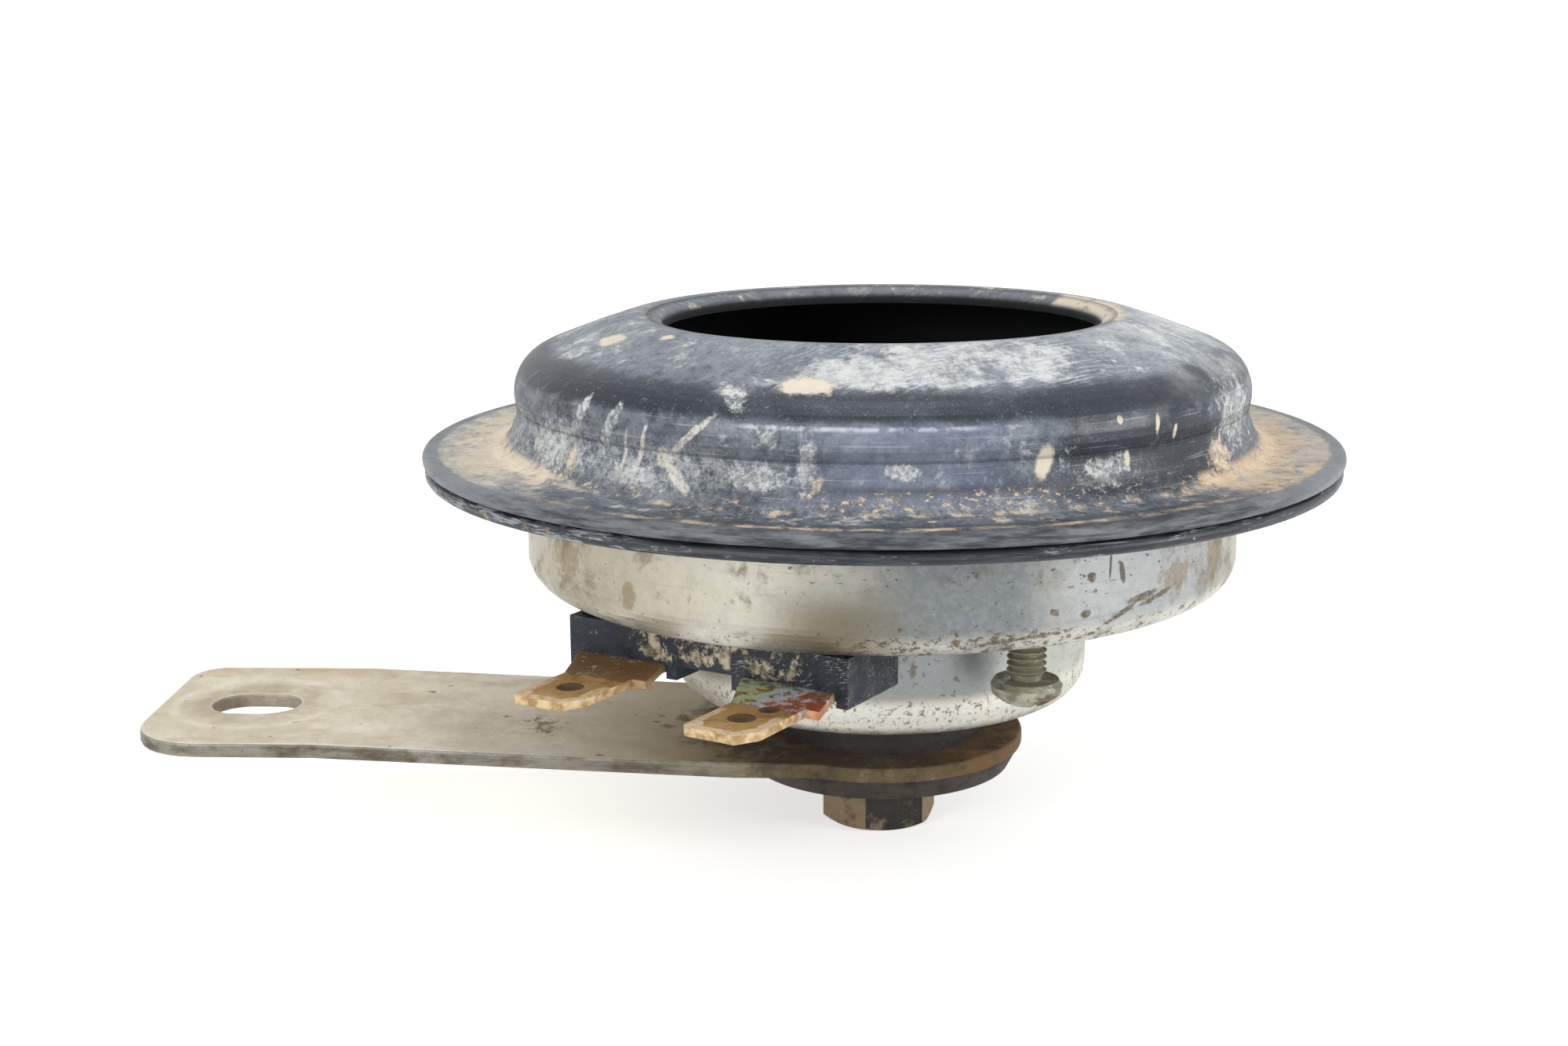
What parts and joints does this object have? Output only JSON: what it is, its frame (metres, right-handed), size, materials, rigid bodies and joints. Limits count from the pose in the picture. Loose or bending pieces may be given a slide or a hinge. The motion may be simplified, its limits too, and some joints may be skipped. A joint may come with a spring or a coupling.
{
  "type": "electric horn",
  "caption": "Electric disc horn with a domed sound cover, two blade terminals, an adjusting screw and a slotted mounting bracket.",
  "frame": {"origin": "middle of the bracket's slot, on the seat under the strip, where the vehicle's mounting face lies", "axes": "+Z along the horn's axis, out of the sound opening; +Y along the strip, from the slot to the stud; +X to the side of the terminals and the adjusting screw"},
  "size_m": [0.0872, 0.1153, 0.0503],
  "materials": {
    "cover_paint": "dark blue-grey paint on pressed steel, scuffed and dusty",
    "ring_paint": "near-black paint with grey scuffs",
    "gasket_paper": "oiled gasket paper",
    "spring_steel": "thin spring steel",
    "case_zinc": "satin zinc-plated steel with stains and rust specks",
    "core_iron": "soft iron, lightly oiled",
    "bobbin_plastic": "natural moulded plastic",
    "enamelled_wire": "enamelled copper wire",
    "plated_steel": "zinc-plated steel",
    "disc_aluminium": "pressed sheet, dulled",
    "bush_brass": "turned brass",
    "screw_zinc": "zinc-plated steel with olive grime",
    "fibre": "red-brown vulcanised fibre",
    "spring_bronze": "phosphor bronze strip",
    "contact_metal": "grey contact metal",
    "block_bakelite": "black moulded resin with dried mud",
    "terminal_brass": "tarnished brass with pale dusty edges",
    "spacer_dark": "dark brown, rusted steel",
    "bracket_zinc": "dull zinc grey with worn edges and rust",
    "rusty_steel": "rusted steel, tan-brown",
    "nut_steel": "dark steel with tan rust"
  },
  "bodies": {
    "bracket": {"bracket": "bracket_zinc"},
    "horn": {"sound_cover": "cover_paint", "rim_ring": "ring_paint", "front_gasket": "gasket_paper", "diaphragm": "spring_steel", "rear_gasket": "gasket_paper", "case_shell": "case_zinc", "pole_core": "core_iron", "coil_bobbin": "bobbin_plastic", "coil_winding": "enamelled_wire", "adjuster_bush": "bush_brass", "breaker_base": "plated_steel", "breaker_insulators": "fibre", "breaker_clamp": "plated_steel", "breaker_rivets": "bush_brass", "terminal_block": "block_bakelite", "terminal_left": "terminal_brass", "terminal_right": "terminal_brass", "terminal_rivets": "terminal_brass", "terminal_insulators": "fibre", "terminal_lugs": "bush_brass", "coil_lead_in": "enamelled_wire", "coil_lead_out": "enamelled_wire", "breaker_lead": "bush_brass", "spacer_washer": "spacer_dark", "dished_washer": "rusty_steel", "mounting_nut": "nut_steel"},
    "vibrator": {"armature": "core_iron", "disc_spacer": "plated_steel", "tone_disc": "disc_aluminium", "disc_lock_washer": "plated_steel", "disc_nut": "plated_steel"},
    "contact_arm": {"moving_contact_spring": "spring_bronze", "moving_contact": "contact_metal", "pusher_post": "fibre"},
    "contact_carrier": {"fixed_contact_spring": "spring_bronze", "fixed_contact": "contact_metal"},
    "screw_cap": {"adjuster_cap": "fibre"},
    "adjuster": {"adjusting_screw": "screw_zinc"}
  },
  "joints": [
    {"name": "bracket_swivel", "type": "hinge", "parent": "bracket", "child": "horn", "pos_m": [0, 0.0622, 0], "axis": [0, 0, 1], "continuous": true},
    {"name": "diaphragm_stroke", "type": "slide", "parent": "horn", "child": "vibrator", "axis": [0, 0, 1], "range_m": [-0.0009, 0], "stiffness_N_per_m": 5000, "deforming": ["diaphragm"]},
    {"name": "contact_arm_bend", "type": "hinge", "parent": "horn", "child": "contact_arm", "pos_m": [0.01727, 0.08214, 0.02065], "axis": [-0.8572, -0.515, 0], "range_deg": [-3.7, 0], "deforming": ["moving_contact_spring"]},
    {"name": "screw_advance", "type": "slide", "parent": "horn", "child": "screw_cap", "axis": [0, 0, 1], "range_m": [0, 0.00045]},
    {"name": "screw_turn", "type": "hinge", "parent": "screw_cap", "child": "adjuster", "pos_m": [0.02149, 0.07511, 0.012], "axis": [0, 0, 1], "range_deg": [0, 270]},
    {"name": "carrier_bend", "type": "hinge", "parent": "horn", "child": "contact_carrier", "pos_m": [0.01727, 0.08214, 0.0226], "axis": [-0.8572, -0.515, 0], "range_deg": [0, 3.3], "deforming": ["fixed_contact_spring"]}
  ],
  "couplings": [
    {"joint": "contact_arm_bend", "follows": "diaphragm_stroke", "rad_per_m": 70},
    {"joint": "screw_turn", "follows": "screw_advance", "rad_per_m": 10472},
    {"joint": "carrier_bend", "follows": "screw_advance", "rad_per_m": 121.95}
  ]
}
